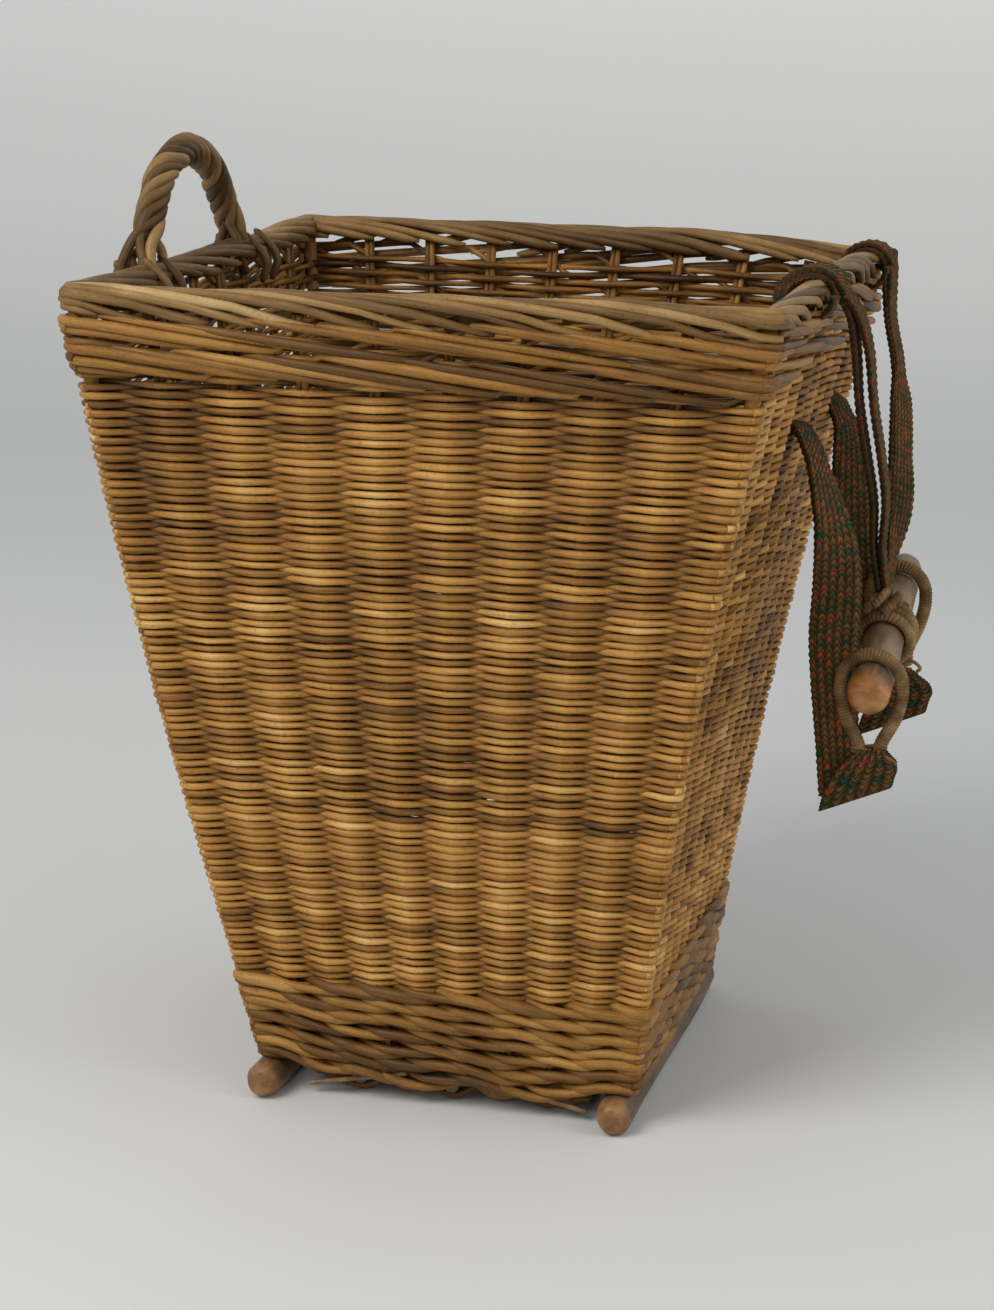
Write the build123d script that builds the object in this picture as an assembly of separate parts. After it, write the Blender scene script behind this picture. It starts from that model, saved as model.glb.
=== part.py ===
from build123d import *
import math
import os

# Willow back basket, standing on its two base runners.
# +Z is up and the floor is z = 0. The wearer's side faces +X, the handle is on the -X side.
# The origin is on the floor, under the middle of the whole object's length and width.

# ---- sizes of the basket, mm
rim_width = 485.0            # outside, along X
rim_depth = 500.0            # outside, along Y
rim_height = 600.0           # floor to the top of the border
foot_width = 280.0           # outside of the lowest wale, along X
foot_depth = 280.0           # along Y
foot_shift = -10.0           # the foot sits this far towards the handle side of the rim
rim_shift = -25.7            # middle of the rim along X; the straps on the +X side balance it
foot_height = 25.0           # underside of the lowest wale

# ---- rods
stake_radius = 2.8           # upright stakes
corner_radius = 4.6          # the four corner stakes
weaver_thickness = 3.2       # woven rods, through the wall
wale_thickness = 4.6         # thicker rods of the two wales
border_rod_radius = 5.0      # rods of the top border
stakes_on_a_side = 8         # between two corner stakes
flat_half = 5.0              # half the straight part of a rod over a stake
clearance = 0.3              # gap between pieces that rest on each other
rod_faces = 8                # flats round a rod or rope; the real ones are round

# ---- how the wall is made up, from the foot upwards
wale_round = 14.0            # height of one round of waling
lower_wale_rounds = 5
upper_wale_rounds = 3
weave_courses = 8            # the fine randing, gathered into this many courses
rim_gap = 8.0                # open gap between the upper wale and the border

# ---- base
runner_radius = 13.0
runner_wear = 1.0            # depth of the worn flat under each runner
runner_spread = 117.0        # each runner lies this far from the middle of the foot
runner_reach = 160.0         # how far each runner reaches to both sides
tie_rod_radius = 1.8         # thin rods that hold the runners' front ends
base_stick_radius = 6.0
base_stick_count = 5
base_courses = 7

# ---- roped handle on the -X side
handle_span = 190.0          # between the two feet, centre to centre, along Y
handle_rise = 84.0           # top of the rope above the border
handle_radius = 11.5
handle_middle = -9.0         # its middle along Y
lacing_radius = 3.4          # rods that tie the handle's feet down
lacing_drop = 34.0           # how far they run down the wall

# ---- shoulder straps
band_thickness = 4.5
band_width = 30.0
loop_radius = 12.8           # inside of the strap's loop round the border
near_loop_bay = 3            # bay between two stakes that the near strap passes
far_loop_bay = 7
layer_gap = 6.5              # between the two layers of a doubled strap

# ---- chest bar: a tapered stick in three rope rings
bar_middle = (278.0 + rim_shift, 10.0, 339.5)
bar_length = 207.0
bar_tilt = 14.8              # degrees, its far end is higher
bar_near_radius = 15.4
bar_far_radius = 13.0
tie_station = -6.0           # from the bar's middle, along it
tie_rope_radius = 4.0
tie_turns = 3
eye_slip = 30.0              # how far the far eye slides towards the tie
near_eye_station = -80.0
far_eye_station = 60.0
eye_rope_radius = 4.6
eye_clearance = 1.8
eye_seat = 1.0               # the eye hangs this much lower, so that it rests on the bar
eye_drop = 48.0              # from the bar's middle down to the foot of an eye
eye_foot_half = 7.0          # half the distance between its legs at the foot

# ---- arm bands, from the wearer's side to the eyes
arm_anchor_height = 478.0
near_arm_stake = 4           # stake that the near band is made fast at
far_arm_stake = 8
arm_hold = 9.0               # this much of a band lies on the wall above and below the anchor
arm_band_width = 27.0
arm_band_thickness = 5.0
arm_fold_height = 228.0      # lowest point of the near band
far_fold_height = 252.0
fold_width = 44.0

SIDES = {                    # outward normal and the direction along the side
    "near": ((0, -1), (1, 0)),
    "wearer": ((1, 0), (0, 1)),
    "far": ((0, 1), (-1, 0)),
    "handle": ((-1, 0), (0, -1)),
}
wall_half = stake_radius + clearance + wale_thickness
weave_half = stake_radius + clearance + weaver_thickness
border_top = rim_height
border_bottom = border_top - 4 * border_rod_radius
upper_wale_top = border_bottom - rim_gap
upper_wale_bottom = upper_wale_top - upper_wale_rounds * wale_round
lower_wale_top = foot_height + lower_wale_rounds * wale_round
border_middle = (border_top + border_bottom) / 2
foot_middle = rim_shift + foot_shift


def corner_half(z):
    """Half width and half depth of the wall's middle surface, and its X shift, at height z."""
    share = (z - foot_height) / (rim_height - foot_height)
    half_x = (foot_width + share * (rim_width - foot_width)) / 2 - wall_half
    half_y = (foot_depth + share * (rim_depth - foot_depth)) / 2 - wall_half
    return half_x, half_y, rim_shift + foot_shift * (1 - share)


def wall_point(side, along, z, out=0.0):
    """Point on a side's middle surface: along is mm from its middle, out is mm outwards."""
    normal, run = SIDES[side]
    half_x, half_y, shift = corner_half(z)
    reach = half_x if normal[0] else half_y
    x = shift + normal[0] * (reach + out) + run[0] * along
    y = normal[1] * (reach + out) + run[1] * along
    return Vector(x, y, z)


def side_half(side, z):
    half_x, half_y, _ = corner_half(z)
    return half_y if SIDES[side][0][0] else half_x


def stake_place(side, number, z):
    """Mm along a side of stake number 1 to stakes_on_a_side; 0 and the last plus 1 are corners."""
    half = side_half(side, z)
    return half * (2 * number / (stakes_on_a_side + 1) - 1)


def bay_place(side, bay, z):
    return (stake_place(side, bay - 1, z) + stake_place(side, bay, z)) / 2


def polygon(points):
    return Face(Wire(Polyline(*points, close=True).edges()))


def planar_faces(a, b, c, d):
    """One face for a flat quad, two for a twisted one."""
    if abs((b - a).cross(c - a).dot(d - a)) < 1e-3:
        return [polygon([a, b, c, d])]
    return [polygon([a, b, c]), polygon([a, c, d])]


def skin(sections):
    """Solid with flat faces through closed sections that have the same number of points."""
    faces = [polygon(sections[0]), polygon(sections[-1])]
    for low, high in zip(sections, sections[1:]):
        for i in range(len(low)):
            j = (i + 1) % len(low)
            faces += planar_faces(low[i], low[j], high[j], high[i])
    return Solid(Shell(faces))


def ring_points(centre, along, radius, side_on):
    """Points round a rod at centre; side_on is a direction square to the rod's own."""
    across = (side_on - along * side_on.dot(along)).normalized()
    other = along.cross(across)
    turns = [2 * math.pi * (i + 0.5) / rod_faces for i in range(rod_faces)]
    return [centre + across * (radius * math.cos(t)) + other * (radius * math.sin(t)) for t in turns]


def rod_between(a, b, radius, end_radius=None):
    """Straight rod, tapering to end_radius."""
    along = (b - a).normalized()
    side_on = Vector(0, 0, 1) if abs(along.Z) < 0.7 else Vector(1, 0, 0)
    ends = [(a, radius), (b, radius if end_radius is None else end_radius)]
    return skin([ring_points(p, along, r, side_on) for p, r in ends])


def rope(path, steps, radius, side_on):
    """Rope of one thickness along a path."""
    stations = [i / steps for i in range(steps + 1)]
    return skin([ring_points(path @ t, (path % t).normalized(), radius, side_on) for t in stations])


def woven_course(side, z_low, z_high, in_front, thickness):
    """One course of rods that passes stake k outside where in_front(k) is true, inside elsewhere."""
    swing = stake_radius + clearance + thickness / 2
    end_gap = corner_radius + clearance

    def outline(z):
        first = -side_half(side, z) + end_gap
        middle = []
        middle.append((first, 0.0))
        for k in range(1, stakes_on_a_side + 1):
            place = stake_place(side, k, z)
            offset = swing if in_front(k) else -swing
            middle.append((place - flat_half, offset))
            middle.append((place + flat_half, offset))
        middle.append((-first, 0.0))
        outer = [wall_point(side, a, z, o + thickness / 2) for a, o in middle]
        inner = [wall_point(side, a, z, o - thickness / 2) for a, o in reversed(middle)]
        return outer + inner

    return skin([outline(z_low), outline(z_high)])


def stacked(side, z_low, z_high, count, in_front, thickness):
    """Courses stacked from z_low to z_high and joined where each lies on the next."""
    step = (z_high - z_low) / count
    rows = [woven_course(side, z_low + i * step, z_low + (i + 1) * step,
                         lambda k, i=i: in_front(k, i), thickness) for i in range(count)]
    return rows[0].fuse(*rows[1:])


def weave(side):
    return stacked(side, lower_wale_top, upper_wale_bottom, weave_courses,
                   lambda k, i: (k + i) % 2 == 1, weaver_thickness)


def wale(side, z_low, rounds):
    """Three-rod waling: in front of two stakes, behind the third, one stake on each round."""
    return stacked(side, z_low, z_low + rounds * wale_round, rounds,
                   lambda k, i: (k + i) % 3 != 0, wale_thickness)


def stakes(side):
    low, high = foot_height, border_bottom - clearance - 0.3 * stake_radius
    rods = []
    for k in range(1, stakes_on_a_side + 1):
        a = wall_point(side, stake_place(side, k, low), low)
        b = wall_point(side, stake_place(side, k, high), high)
        rods.append(rod_between(a, b, stake_radius))
    return Compound(rods)


def corner_stakes():
    low, high = foot_height, border_bottom - clearance - 0.3 * corner_radius
    rods = []
    for side in SIDES:
        a = wall_point(side, side_half(side, low), low)
        b = wall_point(side, side_half(side, high), high)
        rods.append(rod_between(a, b, corner_radius))
    return Compound(rods)


def border():
    """Four rods on each side, laid two by two; the rods of the X sides fit between the others."""
    half_x, half_y, shift = corner_half(border_middle)
    step = border_rod_radius + clearance / 4
    outer = 2 * border_rod_radius
    rods = []
    for out in (-step, step):
        for z in (border_middle - step, border_middle + step):
            for sign in (-1, 1):
                y = sign * (half_y + out)
                rods.append(rod_between(Vector(shift - half_x - outer, y, z),
                                        Vector(shift + half_x + outer, y, z), border_rod_radius))
                x = shift + sign * (half_x + out)
                reach = half_y - outer - clearance
                rods.append(rod_between(Vector(x, -reach, z), Vector(x, reach, z), border_rod_radius))
    return Compound(rods)


def runner(sign):
    """Whittled stick under the foot, its underside worn flat where it stands."""
    x = foot_middle + sign * runner_spread
    length = 2 * runner_reach
    stick = Pos(x, -runner_reach, runner_radius - runner_wear) * Rot(-90, 0, 0) * Cylinder(
        runner_radius, length, align=(Align.CENTER, Align.CENTER, Align.MIN))
    stick = chamfer(stick.edges().filter_by(GeomType.CIRCLE), runner_radius * 0.28)
    floor_cut = Pos(x, 0, 0) * Box(4 * runner_radius, 3 * length, 4 * runner_radius,
                                   align=(Align.CENTER, Align.CENTER, Align.MAX))
    return stick - floor_cut


def base_stick_place(number):
    inner = runner_spread - runner_radius
    return foot_middle - inner + 2 * inner * number / (base_stick_count + 1)


def base_sticks():
    half = foot_depth / 2 - 2 * wall_half
    z = runner_radius - runner_wear
    return Compound([rod_between(Vector(base_stick_place(n), -half, z),
                                 Vector(base_stick_place(n), half, z), base_stick_radius)
                     for n in range(1, base_stick_count + 1)])


def base_weave():
    """Courses across the foot, over and under the base sticks, between the two runners."""
    swing = base_stick_radius + clearance + weaver_thickness / 2
    middle_z = runner_radius - runner_wear
    half = foot_depth / 2 - 2 * wall_half
    inner = runner_spread - runner_radius - clearance
    step = 2 * half / base_courses
    rows = []
    for i in range(base_courses):
        line = [(foot_middle - inner, middle_z)]
        for n in range(1, base_stick_count + 1):
            z = middle_z + (swing if (n + i) % 2 else -swing)
            x = base_stick_place(n)
            line += [(x - base_stick_radius, z), (x + base_stick_radius, z)]
        line.append((foot_middle + inner, middle_z))
        top = [(x, z + weaver_thickness / 2) for x, z in line]
        low = [(x, z - weaver_thickness / 2) for x, z in reversed(line)]
        y = -half + i * step
        face = Face(Wire(Polyline(*[(x, y, z) for x, z in top + low], close=True).edges()))
        rows.append(Solid.extrude(face, Vector(0, step, 0)))
    return rows[0].fuse(*rows[1:])


def runner_ties():
    """Thin rods that run from under the lower wale to the runners' front ends."""
    front = -foot_depth / 2 + 3
    rods = []
    for sign in (-1, 1):
        a = Vector(foot_middle + sign * (runner_spread - runner_radius - clearance), front, 8)
        b = Vector(foot_middle + sign * 30.0, front, foot_height - tie_rod_radius - clearance)
        rods.append(rod_between(a, b, tie_rod_radius))
    return Compound(rods)


def handle_bow():
    """Arch of twisted rods that stands on the border of the -X side."""
    x = wall_point("handle", 0, border_top).X
    foot_z = border_top + clearance
    top_z = border_top + handle_rise - handle_radius
    half = handle_span / 2
    crown = half * 0.56
    shoulder_z = foot_z + (top_z - foot_z) * 0.74
    feet = [Vector(x, handle_middle + s * half, foot_z) for s in (-1, 1)]
    shoulders = [Vector(x, handle_middle + s * crown, shoulder_z) for s in (-1, 1)]
    path = Spline(feet[0], shoulders[0], Vector(x, handle_middle, top_z), shoulders[1], feet[1],
                  tangents=[Vector(0, 0.75, 1), Vector(0, 0.75, -1)])
    bow = rope(path, 16, handle_radius, Vector(1, 0, 0))
    below = Pos(x, handle_middle, foot_z) * Box(6 * handle_radius, 3 * handle_span, 4 * handle_radius,
                                                align=(Align.CENTER, Align.CENTER, Align.MAX))
    return bow - below


def handle_lacing():
    """Rods that run from the handle's feet down both sides of the border and over the wale."""
    rods = []
    reach = 2 * border_rod_radius + lacing_radius + 5 * clearance
    for out in (-reach, reach):
        for foot in (-1, 1):
            for spread in (-1, 0, 1):
                y = handle_middle + foot * handle_span / 2 + spread * (2 * lacing_radius + 1.5)
                bend = wall_point("handle", 0, border_top, out)
                end = wall_point("handle", 0, border_top - lacing_drop, out)
                rods.append(rod_between(Vector(end.X, y, end.Z), Vector(bend.X, y, bend.Z),
                                        lacing_radius * 0.7, lacing_radius))
    return Compound(rods)


def band_section(x, y, z, width, thickness, turn):
    """Flat section of a band at a point: turn 0 has its width along Y, 90 along X."""
    angle = math.radians(turn)
    wide = Vector(-math.sin(angle), math.cos(angle), 0) * (width / 2)
    thick = Vector(math.cos(angle), math.sin(angle), 0) * (thickness / 2)
    middle = Vector(x, y, z)
    return [middle - wide - thick, middle + wide - thick, middle + wide + thick, middle - wide + thick]


def band(stations):
    """Band through (x, y, z, width, thickness, turn) stations, from the top down."""
    return skin([band_section(*s) for s in stations])


def strap_loop(bay):
    """Closed turn of the band round the border, through the gap under it."""
    x = wall_point("wearer", 0, border_middle).X
    y = bay_place("wearer", bay, border_bottom)
    ring = Pos(x, y, border_middle) * Rot(90, 0, 0) * (
        Cylinder(loop_radius + band_thickness, band_width) - Cylinder(loop_radius, band_width + 2))
    return ring


def bar_axis():
    tilt = math.radians(bar_tilt)
    return Vector(0, math.cos(tilt), math.sin(tilt))


def bar_point(station):
    return Vector(*bar_middle) + bar_axis() * station


def bar_radius(station):
    share = station / bar_length + 0.5
    return bar_near_radius + share * (bar_far_radius - bar_near_radius)


def bar_plane(station):
    """Plane square to the bar, its local Y towards the top."""
    return Plane(origin=bar_point(station), x_dir=(-1, 0, 0), z_dir=bar_axis())


def hanging_plane(station):
    """Upright plane through the bar, its local X along the row's X and local Y up."""
    return Plane(origin=bar_point(station) - Vector(0, 0, eye_seat), x_dir=(1, 0, 0), z_dir=(0, -1, 0))


def shoulder_strap(bay, layer):
    """One of the two layers that hang from the loop to the tie on the chest bar."""
    loop_x = wall_point("wearer", 0, border_middle).X + loop_radius + band_thickness / 2
    loop_y = bay_place("wearer", bay, border_bottom)
    tie = bar_point(tie_station)
    foot_z = tie.Z + bar_radius(tie_station) + 2 * tie_rope_radius + 2.2
    drop = border_middle - foot_z
    side = layer * layer_gap / 2
    lean = tie.X - loop_x
    spread = loop_y - tie.Y
    reach = abs(spread)
    foot_offset = math.copysign(min(reach, 9.0), spread)
    rows = []
    for share, width in ((0.0, 1.0), (0.16, 0.92), (0.40, 0.80), (0.64, 0.70), (0.86, 0.52), (1.0, 0.40)):
        z = border_middle - drop * share
        ease = share * share * (3 - 2 * share)
        x = loop_x + lean * (share ** 0.8) + side * min(1.0, 3 * share)
        y = loop_y + (tie.Y + foot_offset - loop_y) * (0.35 * share + 0.65 * ease)
        rows.append((x, y, z, band_width * width, band_thickness, 0))
    return rows


def strap(bay):
    """Loop round the border and the two layers below it, sewn to it as one band."""
    return strap_loop(bay).fuse(band(shoulder_strap(bay, 1)), band(shoulder_strap(bay, -1)))


def chest_bar():
    """Tapered stick with rounded ends, turned about its own axis."""
    half = bar_length / 2
    near, far = bar_near_radius, bar_far_radius
    line = Polyline((0, -half), (near * 0.72, -half), (near * 0.95, -half + near * 0.22),
                    (near, -half + near * 0.6), (far, half - far * 0.6), (far * 0.93, half - far * 0.2),
                    (far * 0.7, half), (0, half), close=True)
    stick = revolve(Face(Wire(line.edges())), axis=Axis.Y)
    return Plane(origin=Vector(*bar_middle), x_dir=(1, 0, 0), z_dir=bar_axis()) * Rot(90, 0, 0) * stick


def strap_tie():
    """Turns of rope lashed round the middle of the bar, that both straps end on."""
    radius = bar_radius(tie_station - 12) + clearance + tie_rope_radius
    radius = radius / math.cos(math.pi / (2 * rod_faces))
    step = 2 * tie_rope_radius + clearance
    turns = []
    for turn in range(tie_turns):
        plane = bar_plane(tie_station + (turn - (tie_turns - 1) / 2) * step)
        halves = []
        for start in (0, 180):
            arc = plane * CenterArc((0, 0), radius, start, 180)
            halves.append(rope(arc, rod_faces, tie_rope_radius, bar_axis()))
        turns.append(halves[0].fuse(halves[1]))
    return Compound(turns)


def rope_eye(station):
    """Rope-wrapped eye: half a ring over the bar, and two legs that close in below it."""
    thickest = max(-bar_length / 2, station - eye_slip)
    radius = bar_radius(thickest) + eye_clearance + eye_rope_radius
    plane = hanging_plane(station)
    over = ThreePointArc((-radius, 0), (0, radius), (radius, 0))
    knee = 0.45 * eye_drop
    right = Spline((radius, 0), (radius * 0.86, -knee), (eye_foot_half, -eye_drop),
                   tangents=[(0, -1), (-0.25, -1)])
    left = Spline((-eye_foot_half, -eye_drop), (-radius * 0.86, -knee), (-radius, 0),
                  tangents=[(-0.25, 1), (0, 1)])
    path = plane * Wire((left + over + right).edges())
    return rope(path, 22, eye_rope_radius, Vector(0, 1, 0))


def band_end(station, fold_z):
    """Folded end of an arm band, gathered up to the legs of its eye."""
    foot = bar_point(station) - Vector(0, 0, eye_drop + eye_seat)
    top_z = foot.Z - clearance - 0.5 * eye_rope_radius
    low_z = fold_z
    y = foot.Y
    half = arm_band_thickness
    rows = [(foot.X, y, top_z, 2 * (eye_foot_half + eye_rope_radius), 2 * half, 90),
            (foot.X - 1.0, y, (top_z * 2 + low_z) / 3, fold_width * 0.66, 2 * half, 90),
            (foot.X - 4.0, y, (top_z + low_z * 2) / 3, fold_width * 0.92, 2 * half, 90),
            (foot.X - 7.0, y, low_z, fold_width * 0.95, 1.4 * half, 90)]
    return band(rows)


def arm_band(station, stake, fold_z):
    """Band from the wearer's side down to the fold beside its eye; it turns as it falls."""
    foot = bar_point(station) - Vector(0, 0, eye_drop + eye_seat)
    out = weave_half + clearance + arm_band_thickness / 2
    z = arm_anchor_height
    high = wall_point("wearer", stake_place("wearer", stake, z), z + arm_hold, out)
    low = wall_point("wearer", stake_place("wearer", stake, z), z - arm_hold, out)
    behind = foot.Y + arm_band_thickness * 1.5 + clearance
    clear_x = bar_middle[0] - bar_near_radius - 1.6 - arm_band_width / 2
    drop = z - fold_z
    turned = [(high.X, high.Y, high.Z, 0),
              (low.X, low.Y, low.Z, 0),
              ((low.X + clear_x) / 2 + 6, low.Y + (behind - low.Y) * 0.45, z - 0.22 * drop, 50),
              (clear_x, behind, z - 0.36 * drop, 90),
              (clear_x, behind, z - 0.70 * drop, 90),
              (foot.X - 22, behind, fold_z + 2, 90)]
    return band([(x, y, h, arm_band_width, arm_band_thickness, turn) for x, y, h, turn in turned])


def build():
    parts = {}
    for side in SIDES:
        parts[f"{side}_side_weave"] = weave(side)
        parts[f"{side}_side_stakes"] = stakes(side)
    parts["corner_stakes"] = corner_stakes()
    parts["lower_wale"] = Compound([wale(side, foot_height, lower_wale_rounds) for side in SIDES])
    parts["upper_wale"] = Compound([wale(side, upper_wale_bottom, upper_wale_rounds) for side in SIDES])
    parts["top_border"] = border()
    parts["handle_side_runner"] = runner(-1)
    parts["wearer_side_runner"] = runner(1)
    parts["base_sticks"] = base_sticks()
    parts["base_weave"] = base_weave()
    parts["runner_ties"] = runner_ties()
    parts["roped_handle"] = handle_bow()
    parts["handle_lacing"] = handle_lacing()
    for name, bay in (("near", near_loop_bay), ("far", far_loop_bay)):
        parts[f"{name}_shoulder_strap"] = strap(bay)
    parts["strap_tie"] = strap_tie()
    parts["chest_bar"] = chest_bar()
    for name, station, stake, fold_z in (("near", near_eye_station, near_arm_stake, arm_fold_height),
                                         ("far", far_eye_station, far_arm_stake, far_fold_height)):
        parts[f"{name}_rope_eye"] = rope_eye(station)
        parts[f"{name}_band_end"] = band_end(station, fold_z)
        parts[f"{name}_arm_band"] = arm_band(station, stake, fold_z)
    return parts


os.makedirs("parts", exist_ok=True)
for node, shape in build().items():
    export_step(shape, f"parts/{node}.step")
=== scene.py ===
import bpy
import math
import numpy as np
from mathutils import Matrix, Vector


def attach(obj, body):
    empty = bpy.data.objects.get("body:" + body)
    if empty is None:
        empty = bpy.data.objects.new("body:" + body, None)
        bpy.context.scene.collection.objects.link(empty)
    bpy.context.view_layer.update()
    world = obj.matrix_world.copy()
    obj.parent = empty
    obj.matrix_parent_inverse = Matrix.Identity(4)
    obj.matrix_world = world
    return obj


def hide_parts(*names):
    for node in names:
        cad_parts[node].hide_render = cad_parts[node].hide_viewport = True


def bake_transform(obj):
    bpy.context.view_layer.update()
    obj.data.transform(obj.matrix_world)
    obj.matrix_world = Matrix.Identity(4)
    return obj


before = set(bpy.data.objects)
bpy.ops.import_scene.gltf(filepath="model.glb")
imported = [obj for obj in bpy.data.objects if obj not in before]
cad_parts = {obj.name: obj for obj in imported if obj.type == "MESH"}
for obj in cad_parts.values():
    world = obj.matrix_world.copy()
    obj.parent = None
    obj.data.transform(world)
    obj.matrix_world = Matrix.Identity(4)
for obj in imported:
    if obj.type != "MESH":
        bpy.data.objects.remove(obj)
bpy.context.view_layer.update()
rng = np.random.default_rng(7)
mm = 0.001

# the body of the basket, in mm: foot and rim outside sizes, heights, where the rim's middle is in X, and how the
# whole leans at half its height, sags at one far corner, rises at the other and wavers
body = dict(footX=280, rimX=485, footY=280, rimY=500, footZ=25, rimZ=600, rimShift=-25.7, footShift=-10,
            wallHalf=7.7, lean=8.0, sag=12.0, rise=4.0, waver=1.6)
bays = 9          # gaps between stakes on one side
allBays = 4 * bays
sideNames = ["near", "wearer", "far", "handle"]
sideNormal = np.array([[0, -1], [1, 0], [0, 1], [-1, 0]], float)
sideRun = np.array([[1, 0], [0, 1], [-1, 0], [0, -1]], float)


def smooth(a, b, x):
    # 0 before a, 1 after b, and an S-shaped step between
    t = np.clip((np.asarray(x, float) - a) / (b - a), 0, 1)
    return t * t * (3 - 2 * t)


def waves(x, y, seed):
    # four crossed sines, a smooth random field between -1 and 1
    r = np.random.default_rng(seed)
    total = 0
    for _ in range(4):
        a, b, c = r.uniform(0.4, 1.6), r.uniform(-1.5, 1.5), r.uniform(0, 6.28)
        total = total + np.sin((a * x + b * y) + c)
    return total / 4


def halfSizes(z):
    # half the wall's middle line in X and Y at a height, and its middle in X
    s = (z - body["footZ"]) / (body["rimZ"] - body["footZ"])
    halfX = (body["footX"] + s * (body["rimX"] - body["footX"])) / 2 - body["wallHalf"]
    halfY = (body["footY"] + s * (body["rimY"] - body["footY"])) / 2 - body["wallHalf"]
    return halfX, halfY, body["rimShift"] + body["footShift"] * (1 - s)


def ringPoint(U, out, z, fillet=10.0):
    # U counts stakes round the basket, nine to a side, from the near left corner towards +X.
    # The wall's middle line is a rectangle whose corners are arcs, and out is mm outwards of it.
    U, out, z = np.broadcast_arrays(np.asarray(U, float), np.asarray(out, float), np.asarray(z, float))
    U = np.mod(U, allBays)
    side = np.minimum((U // bays).astype(int), 3)
    v = U - bays * side
    halfX, halfY, shift = halfSizes(z)
    even = side % 2 == 0
    half = np.where(even, halfX, halfY)
    reach = np.where(even, halfY, halfX)
    along = half * (2 * v / bays - 1)
    angle = np.clip(1 - (half - np.abs(along)) / fillet, 0, 1) * math.pi / 4
    turned = angle > 0
    a = np.where(turned, np.sign(along) * (half - fillet + (fillet + out) * np.sin(angle)), along)
    o = np.where(turned, -fillet + (fillet + out) * np.cos(angle), out)
    n, r = sideNormal[side], sideRun[side]
    x = shift + n[..., 0] * (reach + o) + r[..., 0] * a
    y = n[..., 1] * (reach + o) + r[..., 1] * a
    # the rim sags at the far corner on the wearer's side and stands a little proud at the next one
    far = smooth(60, 250, y)
    sag = smooth(300, 600, z) * (body["rise"] * smooth(40, 235, -x) - body["sag"] * smooth(40, 235, x)) * far
    # the whole body leans a little towards the handle's side between foot and rim
    height = (z - body["footZ"]) / (body["rimZ"] - body["footZ"])
    x = x - body["lean"] * np.sin(math.pi * np.clip(height, 0, 1))
    shake = body["waver"] * waves(x / 60, y / 60 + z / 90, 3) * smooth(60, 300, z)
    return np.stack([x + 0.8 * shake * n[..., 0], y + 0.8 * shake * n[..., 1], z + sag + 0.7 * shake], -1)


def addMesh(name, verts, quads, uv=None, marks=None, flat=None):
    # corners in mm; uv and marks hold a value for each corner, flat says which faces aren't smooth
    verts = np.asarray(verts, float).reshape(-1, 3) * mm
    quads = np.asarray(quads, np.int32).reshape(-1, 4)
    mesh = bpy.data.meshes.new(name)
    mesh.vertices.add(len(verts))
    mesh.vertices.foreach_set("co", verts.ravel())
    mesh.loops.add(quads.size)
    mesh.loops.foreach_set("vertex_index", quads.ravel())
    mesh.polygons.add(len(quads))
    mesh.polygons.foreach_set("loop_start", np.arange(0, quads.size, 4, dtype=np.int32))
    mesh.update(calc_edges=True)
    sharp = np.zeros(len(quads), bool) if flat is None else np.asarray(flat, bool)
    mesh.attributes.new("sharp_face", "BOOLEAN", "FACE").data.foreach_set("value", sharp)
    if uv is not None:
        layer = mesh.uv_layers.new(name="rodUV")
        layer.data.foreach_set("uv", np.asarray(uv, np.float32).reshape(-1, 2)[quads.ravel()].ravel())
    for key, values in (marks or {}).items():
        data = mesh.attributes.new(key, "FLOAT", "POINT").data
        data.foreach_set("value", np.asarray(values, np.float32).ravel())
    mesh.validate()
    obj = bpy.data.objects.new(name, mesh)
    bpy.context.scene.collection.objects.link(obj)
    return obj


def fit(obj, material, cadNode, rider=None):
    # a finished piece takes a CAD node's place and rides on a body
    obj.data.materials.append(material)
    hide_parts(cadNode)
    if rider:
        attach(obj, rider)


def skinQuads(rings, turnOut=False):
    # quads of a tube whose rings of vertices are numbered (..., steps, count), with flat caps at both ends;
    # turnOut is for rings that run the other way round
    count = rings.shape[-1]
    a, b = rings[..., :-1, :], rings[..., 1:, :]
    corners = [a, np.roll(a, -1, -1), np.roll(b, -1, -1), b]
    first, last = rings[..., 0, :], rings[..., -1, :]
    if turnOut:
        corners = [a, b, np.roll(b, -1, -1), np.roll(a, -1, -1)]
        first, last = last, first
    sides = np.stack(corners, -1).reshape(-1, 4)
    caps = []
    for i in range(count // 2 - 1):
        pick = [0, 2 * i + 1, 2 * i + 2, 2 * i + 3]
        caps += [first[..., pick[::-1]].reshape(-1, 4), last[..., pick].reshape(-1, 4)]
    caps = np.concatenate(caps)
    return np.concatenate([sides, caps]), np.r_[np.zeros(len(sides), bool), np.ones(len(caps), bool)]


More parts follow.
